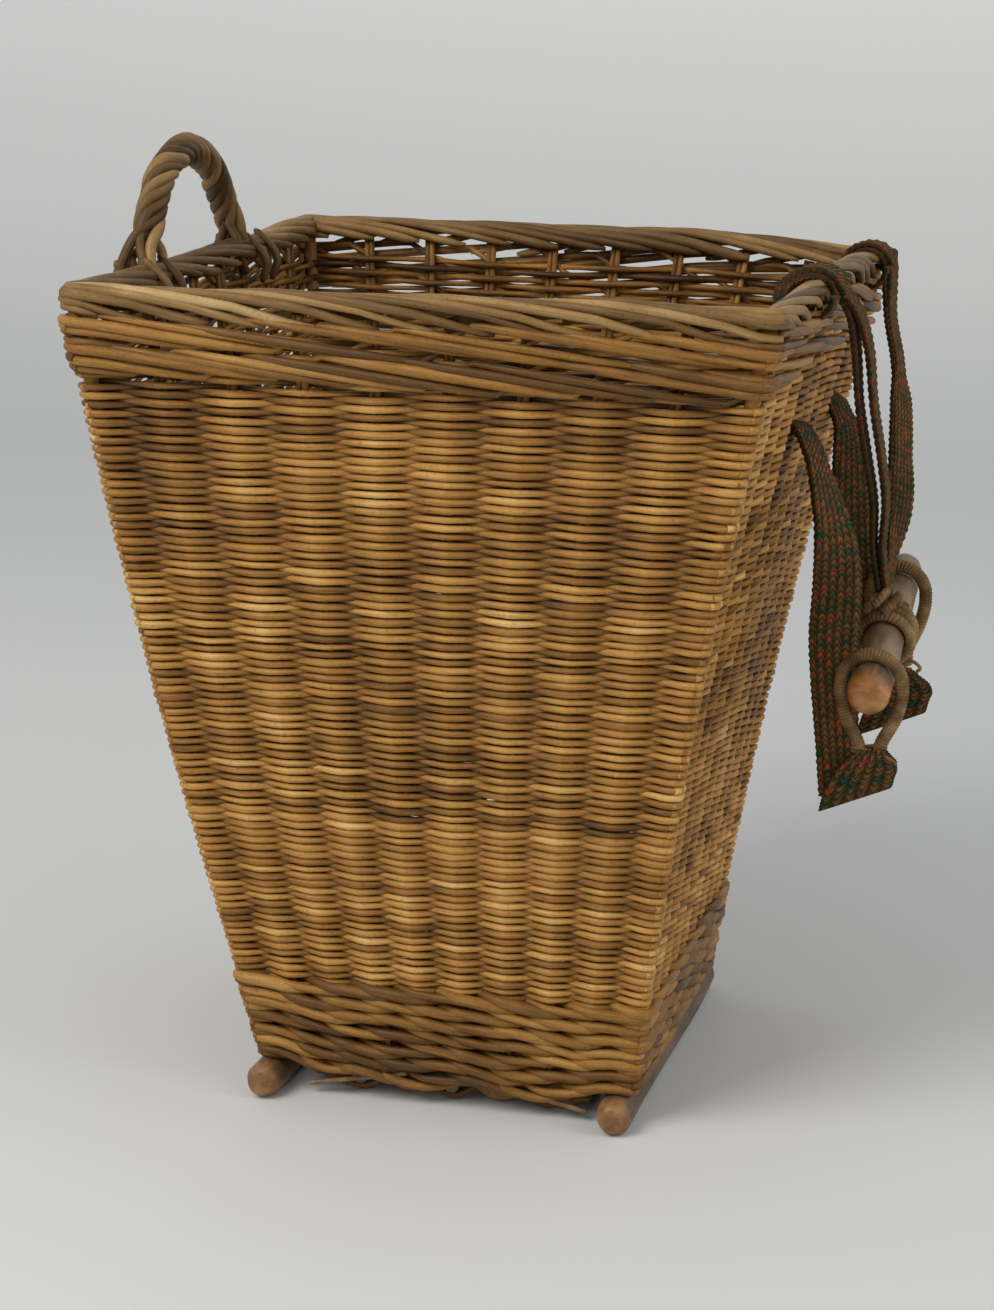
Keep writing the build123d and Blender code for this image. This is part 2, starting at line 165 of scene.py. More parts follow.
def tubes(paths, radii, count=6, up=(0, 0, 1), roundEnds=False):
    # rods: paths (rods, steps, 3) and radii (rods, steps) in mm, count corners round each.
    # Each corner lies at its path point + radius * (cos * sideways + sin * upwards).
    paths = np.asarray(paths, float)
    rods, steps = paths.shape[:2]
    radii = np.broadcast_to(np.asarray(radii, float), (rods, steps)).copy()
    if roundEnds:
        radii[:, 0] *= 0.45
        radii[:, -1] *= 0.45
    t = np.gradient(paths, axis=1)
    t /= np.linalg.norm(t, axis=2, keepdims=True) + 1e-9
    side = np.cross(t, np.broadcast_to(np.asarray(up, float), t.shape))
    side /= np.linalg.norm(side, axis=2, keepdims=True) + 1e-9
    top = np.cross(side, t)
    angle = np.arange(count) * 2 * math.pi / count + math.pi / count
    ring = side[:, :, None] * np.cos(angle)[:, None] + top[:, :, None] * np.sin(angle)[:, None]
    verts = paths[:, :, None] + ring * radii[:, :, None, None]
    quads, flat = skinQuads(np.arange(rods * steps * count).reshape(rods, steps, count))
    length = np.cumsum(np.linalg.norm(np.diff(paths, axis=1), axis=2), 1)
    length = np.concatenate([np.zeros((rods, 1)), length], 1)
    uv = np.stack(np.broadcast_arrays(length[:, :, None] * mm, angle / (2 * math.pi)), -1)
    return verts, quads, uv, flat


def spread(values, steps, count):
    # one value per rod, or one per rod and step, given to every corner
    values = np.asarray(values, float)
    if values.ndim == 1:
        values = values[:, None]
    return np.broadcast_to(values[:, :, None], (values.shape[0], steps, count)).ravel()


def rodsObject(name, paths, radii, tone, count=6, **more):
    # a piece made of rods. Its willow reads the tone, 0 dark to 1 pale, and a seed of each rod's own
    tone = np.clip(np.asarray(tone, float), 0, 1)
    verts, quads, uv, flat = tubes(paths, radii, count, **more)
    steps = np.asarray(paths).shape[1]
    marks = {"tone": spread(tone, steps, count), "seed": spread(rng.uniform(0, 50, len(paths)), steps, count)}
    return addMesh(name, verts, quads, uv, marks, flat)


# materials

def nodesOf(name):
    mat = bpy.data.materials.new(name)
    mat.use_nodes = True
    tree = mat.node_tree
    return mat, tree, tree.nodes["Principled BSDF"]


def link(tree, a, b):
    tree.links.new(a, b)


def node(tree, kind, **values):
    n = tree.nodes.new(kind)
    for key, value in values.items():
        if key in n.inputs:
            n.inputs[key].default_value = value
        else:
            setattr(n, key, value)
    return n


def maths(tree, operation, *values):
    # a Math node whose inputs are numbers or other nodes' sockets
    n = node(tree, "ShaderNodeMath", operation=operation)
    for socket, value in zip(n.inputs, values):
        if isinstance(value, (int, float)):
            socket.default_value = value
        else:
            link(tree, value, socket)
    return n.outputs[0]


def ramp(tree, stops, factor):
    n = tree.nodes.new("ShaderNodeValToRGB")
    while len(n.color_ramp.elements) < len(stops):
        n.color_ramp.elements.new(0.5)
    for element, (place, colour) in zip(n.color_ramp.elements, stops):
        element.position = place
        element.color = (*colour, 1)
    link(tree, factor, n.inputs["Fac"])
    return n.outputs["Color"]


def noise(tree, vector, **values):
    n = node(tree, "ShaderNodeTexNoise", **values)
    link(tree, vector, n.inputs["Vector"])
    return n.outputs["Fac"]


def splitXYZ(tree, vector):
    n = node(tree, "ShaderNodeSeparateXYZ")
    link(tree, vector, n.inputs[0])
    return n.outputs


def joinXYZ(tree, **values):
    n = node(tree, "ShaderNodeCombineXYZ")
    for key, value in values.items():
        link(tree, value, n.inputs[key])
    return n.outputs[0]


def mixed(tree, factor, a, b, blend="MIX"):
    n = node(tree, "ShaderNodeMix", data_type="RGBA", blend_type=blend)
    if isinstance(factor, float):
        n.inputs[0].default_value = factor
    else:
        link(tree, factor, n.inputs[0])
    link(tree, a, n.inputs[6])
    link(tree, b, n.inputs[7])
    return n.outputs[2]


def bumped(tree, bsdf, height, strength, distance):
    n = node(tree, "ShaderNodeBump", Strength=strength, Distance=distance)
    link(tree, height, n.inputs["Height"])
    link(tree, n.outputs[0], bsdf.inputs["Normal"])


def surface(bsdf, rough, shine=0.5):
    bsdf.inputs["Roughness"].default_value = rough
    bsdf.inputs["Specular IOR Level"].default_value = shine


def objectPlace(tree):
    return node(tree, "ShaderNodeTexCoord").outputs["Object"]


def rodPlace(tree):
    # along the rod in metres, and round it from 0 to 1
    return splitXYZ(tree, node(tree, "ShaderNodeUVMap", uv_map="rodUV").outputs["UV"])


willowLook = dict(streakScale=(30, 2.2, 1), toneShare=0.9, streakShare=0.55, streakShift=-0.28, cloudShare=0.5,
                  shift=-0.24, specks=0.5)


def willow(name, stops, rough=0.5):
    # peeled willow: a tone for each rod, long streaks along it, soft clouds over the whole and dark specks
    mat, tree, bsdf = nodesOf(name)
    along = rodPlace(tree)
    tone = node(tree, "ShaderNodeAttribute", attribute_name="tone").outputs["Fac"]
    seed = node(tree, "ShaderNodeAttribute", attribute_name="seed").outputs["Fac"]
    stretch = node(tree, "ShaderNodeMapping")
    stretch.inputs["Scale"].default_value = willowLook["streakScale"]
    link(tree, joinXYZ(tree, X=along["X"], Y=along["Y"], Z=seed), stretch.inputs["Vector"])
    streak = noise(tree, stretch.outputs[0], Scale=1.0, Detail=4.0, Roughness=0.6)
    cloud = noise(tree, objectPlace(tree), Scale=9.0, Detail=3.0, Roughness=0.55)
    fine = noise(tree, objectPlace(tree), Scale=420.0, Detail=3.0, Roughness=0.7)
    streaks = maths(tree, "MULTIPLY_ADD", streak, willowLook["streakShare"], willowLook["streakShift"])
    tones = maths(tree, "MULTIPLY_ADD", tone, willowLook["toneShare"], streaks)
    shifted = maths(tree, "ADD", tones, willowLook["shift"])
    colour = ramp(tree, stops, maths(tree, "MULTIPLY_ADD", cloud, willowLook["cloudShare"], shifted))
    speck = ramp(tree, [(0.30, (0.35, 0.30, 0.25)), (0.46, (1, 1, 1))], fine)
    link(tree, mixed(tree, willowLook["specks"], colour, speck, "MULTIPLY"), bsdf.inputs["Base Color"])
    bumped(tree, bsdf, streak, 0.35, 0.0004)
    surface(bsdf, rough, 0.25)
    return mat


golden = [(0.05, (0.040, 0.017, 0.004)), (0.28, (0.125, 0.056, 0.010)), (0.50, (0.30, 0.137, 0.027)),
          (0.72, (0.49, 0.258, 0.064)), (0.98, (0.74, 0.50, 0.19))]
brown = [(0.05, (0.036, 0.016, 0.004)), (0.30, (0.120, 0.054, 0.011)), (0.56, (0.30, 0.140, 0.026)),
         (0.95, (0.52, 0.31, 0.095))]
pale = [(0.05, (0.040, 0.019, 0.006)), (0.35, (0.125, 0.066, 0.019)), (0.60, (0.26, 0.150, 0.047)),
        (0.95, (0.47, 0.32, 0.145))]
dusk = [(0.05, (0.028, 0.014, 0.005)), (0.38, (0.110, 0.056, 0.018)), (0.68, (0.21, 0.118, 0.040)),
        (0.98, (0.38, 0.24, 0.10))]
goldenWillow = willow("golden_willow", golden)
waleWillow = willow("wale_willow", brown, rough=0.46)
borderWillow = willow("border_willow", pale, rough=0.52)
handleWillow = willow("handle_willow", dusk, rough=0.5)
stakeWillow = willow("stake_willow", golden, rough=0.55)


def barkless(name, stops, rough=0.55, scale=(22, 4, 22), cut=None):
    # a stick of solid wood: grain drawn out along its length, in object space. cut is for a stick in its bark whose
    # ends a knife has rounded: the bare wood's colours, and from where to where along Y, in metres, it begins;
    # nearOnly leaves the far end in its bark
    mat, tree, bsdf = nodesOf(name)
    place = objectPlace(tree)
    stretch = node(tree, "ShaderNodeMapping")
    stretch.inputs["Scale"].default_value = scale
    link(tree, place, stretch.inputs["Vector"])
    grain = noise(tree, stretch.outputs[0], Scale=3.0, Detail=6.0, Roughness=0.62, Distortion=0.4)
    colour = ramp(tree, stops, grain)
    if cut:
        along = splitXYZ(tree, place)["Y"]
        outwards = maths(tree, "MULTIPLY", along, -1.0) if cut["nearOnly"] else maths(tree, "ABSOLUTE", along)
        ragged = maths(tree, "MULTIPLY_ADD", grain, 0.030, outwards)
        share = node(tree, "ShaderNodeMapRange")
        share.inputs["From Min"].default_value = cut["start"] + 0.015
        share.inputs["From Max"].default_value = cut["full"] + 0.015
        link(tree, ragged, share.inputs["Value"])
        colour = mixed(tree, share.outputs["Result"], colour, ramp(tree, cut["stops"], grain))
    link(tree, colour, bsdf.inputs["Base Color"])
    bumped(tree, bsdf, grain, 0.4, 0.0006)
    surface(bsdf, rough)
    return mat


runnerWood = barkless(
    "runner_wood", [(0.30, (0.045, 0.027, 0.014)), (0.50, (0.110, 0.064, 0.034)), (0.72, (0.20, 0.125, 0.070))],
    rough=0.5, scale=(26, 5, 26), cut=dict(
        stops=[(0.30, (0.085, 0.038, 0.012)), (0.50, (0.19, 0.088, 0.027)), (0.72, (0.31, 0.16, 0.056))],
        start=0.148, full=0.152, nearOnly=False))
barWood = barkless(
    "bar_wood", [(0.28, (0.085, 0.052, 0.026)), (0.48, (0.165, 0.105, 0.055)), (0.70, (0.27, 0.185, 0.105))],
    rough=0.42, scale=(26, 5, 26), cut=dict(
        stops=[(0.30, (0.17, 0.060, 0.014)), (0.50, (0.36, 0.145, 0.034)), (0.72, (0.48, 0.26, 0.085))],
        start=0.074, full=0.088, nearOnly=True))
stickWood = barkless(
    "stick_wood", [(0.30, (0.09, 0.050, 0.022)), (0.50, (0.18, 0.105, 0.045)), (0.72, (0.30, 0.19, 0.085))],
    scale=(24, 24, 5))

print("materials ready")

# fine randing: each rod passes outside one stake and inside the next, the row above the other way round

randing = dict(low=93.0, high=572.0, openFrom=536.0, openPitch=5.6, lowPitch=2.80, highPitch=3.40, radius=2.55,
               swing=5.6, cornerOut=4.2, crossing=0.72, jitter=0.12, tone=0.48, shadedBays=3.2)


def randingRows():
    # heights of the rows, whose pitch grows upwards
    pitch = np.linspace(randing["lowPitch"], randing["highPitch"], 400)
    z = randing["low"] + np.cumsum(pitch) - pitch[0]
    z = z[z < randing["openFrom"]]
    # behind the waling under the rim the rows stand further apart
    return np.r_[z, np.arange(z[-1] + randing["openPitch"], randing["high"], randing["openPitch"])]


def bayPlaces(perBay):
    # steps along a side, close together at its corners and a little past them
    inner = np.linspace(0, bays, bays * perBay + 1)
    near = np.array([0.06, 0.12, 0.19])
    return np.unique(np.round(np.r_[-0.05, inner, near, bays - near, bays + 0.05], 4))


def cornerBump(v, wide=0.17):
    # 1 at a side's two corners and 0 away from them
    return np.exp(-(np.minimum(v, bays - v) / wide) ** 2)


def swingAt(v, signs):
    # from stake to stake, part straight and part cosine; signs is (rods, 10) with one value per stake
    k = np.clip(v.astype(int), 0, bays - 1)
    t = v - k
    w = 0.65 * t + 0.35 * (0.5 - 0.5 * np.cos(math.pi * t))
    return signs[:, k] * (1 - w) + signs[:, k + 1] * w


def weaveSide(side, perBay, count):
    # out of the wall = swing * (1 outside a stake, -1 inside the next), with a bump round the corners
    rows = randingRows()
    n = len(rows)
    v = bayPlaces(perBay)
    parity = (np.arange(n)[:, None] + bays * side + np.arange(bays + 1)[None, :]) % 2
    signs = np.where(parity == 0, 1.0, -1.0)
    swing = swingAt(v, signs)
    corner = cornerBump(v)
    atEnd = signs[:, [0]] * (v < 1) + signs[:, [bays]] * (v > bays - 1)
    out = swing * randing["swing"] + randing["cornerOut"] * corner + 1.2 * np.maximum(0, atEnd) * corner
    U = bays * side + v
    across, up = U[None, :], rows[:, None]
    z = up + 1.5 * waves(across * 0.9, up / 26, 11) + 0.5 * waves(across * 2.3, up / 9, 12)
    z = z + rng.normal(0, randing["jitter"], (n, 1)) + 0.20 * waves(across * 3.1, up / 3, 16)
    paths = ringPoint(across, out, z)
    thick = 1 + 0.10 * rng.normal(0, 1, (n, 1)) + 0.10 * waves(across * 1.3, up / 5, 13)
    full = np.clip(np.abs(swing) * 1.15, 0, 1) ** 0.8
    radii = randing["radius"] * np.clip(thick, 0.76, 1.25) * (randing["crossing"] + (1 - randing["crossing"]) * full)
    # painted shade and light: the near side darkens towards its left corner, and a rod turns darker where it passes
    # behind a stake and paler where it lies in front of one
    shaded = 0.08 * (side == 0) * smooth(randing["shadedBays"], 0.4, v)
    tone = randing["tone"] - shaded + 0.11 * rng.normal(0, 1, (n, 1)) + 0.21 * swing
    tone = tone + 0.10 * waves(across * 0.7, up / 35, 14) + 0.08 * waves(across * 1.1, up / 4, 15)
    obj = rodsObject(f"{sideNames[side]}_randing", paths, radii, tone, count)
    fit(obj, goldenWillow, f"{sideNames[side]}_side_weave", "basket")


# the near side, which the photo shows best, gets more steps and corners
for side in range(4):
    weaveSide(side, 7 if side == 0 else 5, 8 if side == 0 else 6)
print("randing woven")

# waling: rods laid over several stakes and behind one, each falling to the right as it goes

lowerWale = dict(name="lower_waling", node="lower_wale", low=26, high=95, rounds=7, cycle=3, radius=3.7, fall=9.0,
                 swing=7.4, seed=1, droop=10.0, inside=-1.0)
upperWale = dict(name="upper_waling", node="upper_wale", low=538, high=580, rounds=2, cycle=4, radius=3.3,
                 fall=19.5, swing=8.6, seed=2, droop=0.0, inside=0.35)
behind = 0.35     # this share of a bay on each side of a stake, a rod is on its way behind it


def wale(w):
    # p counts bays from the stake that a rod lies behind. Its height falls steadily while it lies in front, from
    # half the fall above its round to half below, and climbs back behind the stake.
    r = np.random.default_rng(w["seed"])
    rounds, cycle, seed = w["rounds"], w["cycle"], w["seed"]
    height = (w["high"] - w["low"]) / rounds
    v = bayPlaces(6)
    lifts = r.normal(0, 0.10 * height, (rounds, cycle, 12))
    shades = r.normal(0, 0.13, (rounds, cycle, 12))
    paths, radii, tones = [], [], []
    for side in range(4):
        U = bays * side + v
        stakeNumbers = bays * side + np.arange(bays + 1)
        middleBays = (side % 2 == 0) * smooth(0.3, 1.6, v) * smooth(8.8, 7.6, v)
        for i in range(rounds):
            for j in range(cycle):
                signs = np.where((stakeNumbers - j - i) % cycle == 0, w["inside"], 1.0)[None, :]
                p = np.mod(U - j - i, cycle)
                inFront = (p > behind) & (p < cycle - behind)
                front = np.clip((p - behind) / (cycle - 2 * behind), 0, 1)
                leaving = 0.5 * p / behind
                coming = -0.5 + 0.5 * (p - cycle + behind) / behind
                down = np.where(inFront, 0.5 - front, np.where(p <= behind, leaving, coming))
                stroke = np.floor((U - j - i) / cycle).astype(int) % 12
                z = w["low"] + (i + 0.5) * height + w["fall"] * down + lifts[i, j, stroke]
                z = z - w["droop"] * (1 - i / rounds) * middleBays * (1 + 0.25 * np.sin(2.1 * v + i))
                z = z + 1.0 * waves(U * 0.8, w["low"] / 9 + i + 0 * U, 21 + seed)
                lift = np.where(inFront, 1.6 * (0.5 - np.abs(front - 0.5)) + 1.2 * (0.5 - front), 0)
                out = swingAt(v, signs)[0] * w["swing"] + lift + 4.2 * cornerBump(v)
                paths.append(ringPoint(U, out, z))
                middle = np.sin(math.pi * np.clip((p - 0.1) / (cycle - 0.2), 0, 1)) ** 0.5
                radii.append(w["radius"] * (1 + 0.12 * r.normal()) * (0.58 + 0.42 * middle))
                tones.append(0.48 + shades[i, j, stroke] + 0.12 * waves(U * 0.8, i + 3.0 * j + 0 * U, 31 + seed))
    obj = rodsObject(w["name"], np.array(paths), np.array(radii), np.array(tones), 8)
    fit(obj, waleWillow, w["node"], "basket")


wale(lowerWale)
wale(upperWale)
print("waling laid")

# border: each stake bends down and rolls over the rim in a long slanting stroke

borderRoll = dict(strokes=48, length=5.2, middle=588.5, size=7.2, fromAngle=215, turn=265, outerDrop=16.5,
                  innerDrop=10, radius=3.75, fillet=4.0, tone=0.54)


def border():
    # a stroke winds once round the border's middle line while it runs along it: its angle falls with t, out of
    # the wall = size * cos, and height = size * sin, stretched downwards on the outer side
    strokes, length = borderRoll["strokes"], borderRoll["length"]
    t = np.linspace(0, 1, 60)
    start = (np.arange(strokes) * allBays / strokes)[:, None]
    U = start + (t[None, :] - 0.5) * length
    angle = np.radians(borderRoll["fromAngle"] - borderRoll["turn"] * t)[None, :]
    angle = angle + np.radians(rng.normal(0, 8, (strokes, 1)))
    size = borderRoll["size"] + 0.9 * waves(U * 0.7, start, 41)
    high = np.sin(angle)
    below = np.where(np.cos(angle) > 0, borderRoll["outerDrop"], borderRoll["innerDrop"])
    z = borderRoll["middle"] + np.where(high > 0, size + 0.8, below) * high
    out = size * np.cos(angle) + 1.5 * cornerBump(np.mod(U, bays), 0.2)
    paths = ringPoint(U, out, z + 0.9 * waves(U * 1.7, start, 43), borderRoll["fillet"])
    ends = smooth(0, 0.05, t) * smooth(0, 0.03, 1 - t)
    radii = borderRoll["radius"] + 0.40 * rng.normal(0, 1, (strokes, 1))
    radii = radii * (0.5 + 0.5 * ends[None, :]) * (1 - 0.25 * t[None, :])
    nearPale = 0.07 * (np.mod(U, allBays) < bays)
    tone = borderRoll["tone"] + nearPale + 0.14 * rng.normal(0, 1, (strokes, 1)) + 0.12 * waves(U, start, 42)
    fit(rodsObject("rolled_border", paths, radii, tone, 8), borderWillow, "top_border", "basket")


border()
print("border rolled")

# stakes: pairs along the sides, one thick one in each corner

stakeSizes = dict(low=26, high=584, pairHalf=2.1, radius=2.3, cornerRadius=5.0, cornerOut=4.2)


def stakes():
    # a pair stands round each stake number along a side, and the corner posts stand a little outwards
    z = np.linspace(stakeSizes["low"], stakeSizes["high"], 40)
    halfX, halfY, _ = halfSizes(z)
    for side in range(4):
        half = halfX if side % 2 == 0 else halfY
        pair = (-stakeSizes["pairHalf"], stakeSizes["pairHalf"])
        paths = [ringPoint(bays * side + k + offset / half * 4.5, 0.4 * offset, z)
                 for k in range(1, bays) for offset in pair]
        tone = 0.42 + 0.12 * rng.normal(0, 1, len(paths))
        up = (0.2, 1, 0) if side % 2 else (1, 0.2, 0)
        obj = rodsObject(f"{sideNames[side]}_stake_pairs", np.array(paths), stakeSizes["radius"], tone, 8, up=up)
        fit(obj, stakeWillow, f"{sideNames[side]}_side_stakes", "basket")
    corners = np.array([ringPoint(bays * side + 0.001, stakeSizes["cornerOut"], z) for side in range(4)])
    obj = rodsObject("corner_posts", corners, stakeSizes["cornerRadius"], [0.5, 0.55, 0.45, 0.5], 10, up=(1, 0.3, 0))
    fit(obj, stakeWillow, "corner_stakes", "basket")


stakes()

# runners: two barked sticks, whittled at the ends, with a worn flat below

runnerSizes = dict(nearEnd=-160, farEnd=158, radius=13.0, middle=12.0, tipShare=0.62, whittled=9.0)
runnerPlaces = (("left_runner_stick", -144.5, "handle_side_runner", 71),
                ("right_runner_stick", 117.5, "wearer_side_runner", 72))


def runners():
    # radius = stick * uneven bark * the whittled tip's rise, and nothing reaches below the floor
    nearEnd, farEnd, steps, count = runnerSizes["nearEnd"], runnerSizes["farEnd"], 90, 28
    y = np.linspace(nearEnd, farEnd, steps)
    phi = np.arange(count) * 2 * math.pi / count
    Y, P = np.meshgrid(y, phi, indexing="ij")
    end = np.minimum(Y - nearEnd, farEnd - Y)
    for name, x, nodeName, seed in runnerPlaces:
        tip = np.clip((end + 0.5) / (runnerSizes["whittled"] + 4 * np.cos(P + seed)), 0, 1) ** 0.75
        tip = runnerSizes["tipShare"] + (1 - runnerSizes["tipShare"]) * tip
        R = (runnerSizes["radius"] + 0.7 * waves(Y / 40, P, seed)) * tip
        X = x + body["rimShift"] + R * np.cos(P) + 2.0 * waves(Y / 90, 0 * Y, seed + 1)
        Z = np.maximum(runnerSizes["middle"] + R * np.sin(P), 0.0)
        quads, flat = skinQuads(np.arange(steps * count).reshape(steps, count), turnOut=True)
        obj = addMesh(name, np.stack([X, Y, Z], -1), quads, flat=flat)
        fit(obj, runnerWood, nodeName, "basket")


runners()
print("stakes and runners set")

# the floor of the basket, woven like the sides but over sticks

floorSizes = dict(half=103.7, reach=123, pitch=4.4, swing=8.2, middle=12.2, radius=2.3, sticks=6)


def floorWeave():
    # height = middle + swing * (1 over a stick, -1 under the next), a cosine from stick to stick
    half, bars = floorSizes["half"], floorSizes["sticks"]
    rows = np.arange(-floorSizes["reach"], floorSizes["reach"] + 1, floorSizes["pitch"])
    v = np.linspace(0, bars, 7 * bars + 1)
    k = np.minimum(v.astype(int), bars - 1)
    signs = np.where((np.arange(len(rows))[:, None] + np.arange(bars + 1)[None, :]) % 2 == 0, 1.0, -1.0)
    signs[:, [0, bars]] = 0
    w = 0.5 - 0.5 * np.cos(math.pi * (v - k))
    offset = (signs[:, k] * (1 - w) + signs[:, k + 1] * w) * floorSizes["swing"]
    x = body["rimShift"] + body["footShift"] + np.broadcast_to(-half + 2 * half * v / bars, offset.shape)
    y = np.broadcast_to(rows[:, None], offset.shape)
    paths = np.stack([x, y + 0.6 * waves(x / 30, y / 30, 51), floorSizes["middle"] + offset], -1)
    tone = 0.4 + 0.12 * rng.normal(0, 1, len(rows))
    obj = rodsObject("floor_randing", paths, floorSizes["radius"], tone, 6)
    fit(obj, goldenWillow, "base_weave", "basket")


floorWeave()


# lines through points

def curve(points, steps):
    # smooth line through the points, evenly spaced
    p = np.asarray(points, float)
    ext = np.vstack([2 * p[0] - p[1], p, 2 * p[-1] - p[-2]])
    out = []
    for i in range(1, len(ext) - 2):
        t = np.linspace(0, 1, 24, endpoint=False)[:, None]
        a, b, c, d = ext[i - 1], ext[i], ext[i + 1], ext[i + 2]
        out.append(0.5 * (2 * b + (c - a) * t + (2 * a - 5 * b + 4 * c - d) * t**2 + (3 * b - a - 3 * c + d) * t**3))
    out = np.vstack(out + [p[-1:]])
    s = np.r_[0, np.cumsum(np.linalg.norm(np.diff(out, axis=0), axis=1))]
    even = np.linspace(0, s[-1], steps)
    return np.stack([np.interp(even, s, out[:, i]) for i in range(3)], 1)


def fromRim(x, y, z):
    # a place measured with the rim's middle at x = 0
    return np.array([x + body["rimShift"], y, z], float)


def unit(vectors):
    # each row divided by its length
    return vectors / np.linalg.norm(vectors, axis=1, keepdims=True)


# handle: six rods twisted into a rope, whose ends fan out and are laced through the wall

handleShape = dict(x=-241.0, rods=6, turns=4.2, twist=7.4, radius=4.1, fanAlong=25, fanOut=13.05, fanDrop=10,
                   path=[(-116, 584), (-100, 604), (-79, 636), (-56, 659), (-12, 672), (34, 658), (58, 634),
                         (82, 602), (100, 584)])
laceShape = dict(feet=(-108, 92), along=(-22, -9, 5, 18), top=603, low=565.0, out=14.0, radius=3.1)


def handle():
    # each rod turns about the core: core + twist radius * (cos * out of the wall + sin * across the core)
    steps, rods = 220, handleShape["rods"]
    core = curve([fromRim(handleShape["x"], y, z) for y, z in handleShape["path"]], steps)
    t = np.linspace(0, 1, steps)
    d = unit(np.gradient(core, axis=0))
    n = np.tile(np.array([1.0, 0, 0]), (steps, 1))
    b = np.cross(d, n)
    fan = np.maximum(smooth(0.20, 0.02, t), smooth(0.80, 0.98, t))
    paths, radii = [], []
    for i in range(rods):
        phi = 2 * math.pi * (i / rods + handleShape["turns"] * t)
        r = handleShape["twist"] * (1 - fan)
        line = core + r[:, None] * (np.cos(phi)[:, None] * n + np.sin(phi)[:, None] * b)
        place = 2 * i / (rods - 1) - 1
        line[:, 0] += fan * handleShape["fanOut"] * (1 if i % 2 == 0 else -1)
        line[:, 1] += fan * handleShape["fanAlong"] * place
        line[:, 2] += (1 - fan) * 0.8 * np.sin(3 * phi) - fan * handleShape["fanDrop"] * abs(place)
        paths.append(line)
        radii.append(handleShape["radius"] * (1 - 0.22 * fan) * (1 + 0.06 * rng.normal()))
    tone = 0.5 + 0.16 * rng.normal(0, 1, rods)
    obj = rodsObject("twisted_handle", np.array(paths), np.array(radii), tone, 10, up=(1, 0.01, 0))
    fit(obj, handleWillow, "roped_handle", "basket")


def handleLaces():
    # laces that go on down over the waling, by turns outside and inside the wall
    halfX, _, shift = halfSizes(laceShape["low"])
    ends = []
    for foot in laceShape["feet"]:
        for i, along in enumerate(laceShape["along"]):
            out = laceShape["out"] * (1 if i % 2 == 0 else -1)
            top = fromRim(handleShape["x"], foot + along, laceShape["top"])
            low = np.array([shift - halfX - out * 0.75, foot + along * 0.8, laceShape["low"]])
            middle = (top + low) / 2
            middle[0] = shift - halfX - out
            top[0] -= out * 0.55
            ends.append(curve([top, middle, low], 14))
    tone = 0.45 + 0.15 * rng.normal(0, 1, len(ends))
    obj = rodsObject("handle_laces", np.array(ends), laceShape["radius"], tone, 8, up=(1, 0, 0.01), roundEnds=True)
    fit(obj, handleWillow, "handle_lacing", "basket")


handle()
handleLaces()
print("handle twisted")

# webbing: knotted bands, for the shoulder straps, the arm bands and their folded ends

clothLook = dict(chains=6.0, loops=205.0, lean=1.6, wander=2.4, threads=120.0, chainShift=3.7, bump=0.0012)


def webbing(name):
    # six chains side by side along the band, brown with green and rust threads. Height = how far in from a
    # chain's edge * a zigzag along the band, whose loops lean outwards from the middle of each chain
    mat, tree, bsdf = nodesOf(name)
    along = rodPlace(tree)
    chain = maths(tree, "MULTIPLY", along["Y"], clothLook["chains"])
    inChain = maths(tree, "PINGPONG", chain, 0.5)
    lean = maths(tree, "MULTIPLY", inChain, clothLook["lean"])
    loops = maths(tree, "MULTIPLY_ADD", along["X"], clothLook["loops"], lean)
    wander = noise(tree, objectPlace(tree), Scale=70.0, Detail=2.0)
    zigzag = maths(tree, "PINGPONG", maths(tree, "MULTIPLY_ADD", wander, clothLook["wander"], loops), 0.5)
    height = maths(tree, "MULTIPLY", zigzag, inChain)
    threads = maths(tree, "MULTIPLY", along["X"], clothLook["threads"])
    ownChain = maths(tree, "MULTIPLY", maths(tree, "FLOOR", chain), clothLook["chainShift"])
    fleck = noise(tree, joinXYZ(tree, X=threads, Y=ownChain), Scale=1.0, Detail=3.0, Roughness=0.62, Distortion=0.6)
    colour = ramp(tree, [(0.32, (0.015, 0.055, 0.024)), (0.39, (0.026, 0.060, 0.024)), (0.42, (0.080, 0.048, 0.016)),
                         (0.57, (0.120, 0.070, 0.025)), (0.61, (0.20, 0.052, 0.017)), (0.72, (0.25, 0.070, 0.023))],
                  fleck)
    # painted shade and highlight: the colour darkens where the knit's height is low, in the grooves between chains
    # and loops, and brightens past its own colour on their tops
    shadeAndHighlight = ramp(tree, [(0.0, (0.30, 0.28, 0.25)), (0.07, (0.85, 0.83, 0.80)), (0.20, (1.6, 1.5, 1.35))], height)
    link(tree, mixed(tree, 1.0, colour, shadeAndHighlight, "MULTIPLY"), bsdf.inputs["Base Color"])
    bumped(tree, bsdf, height, 0.9, clothLook["bump"])
    surface(bsdf, 0.9, 0.2)
    return mat


bandCloth = webbing("band_cloth")


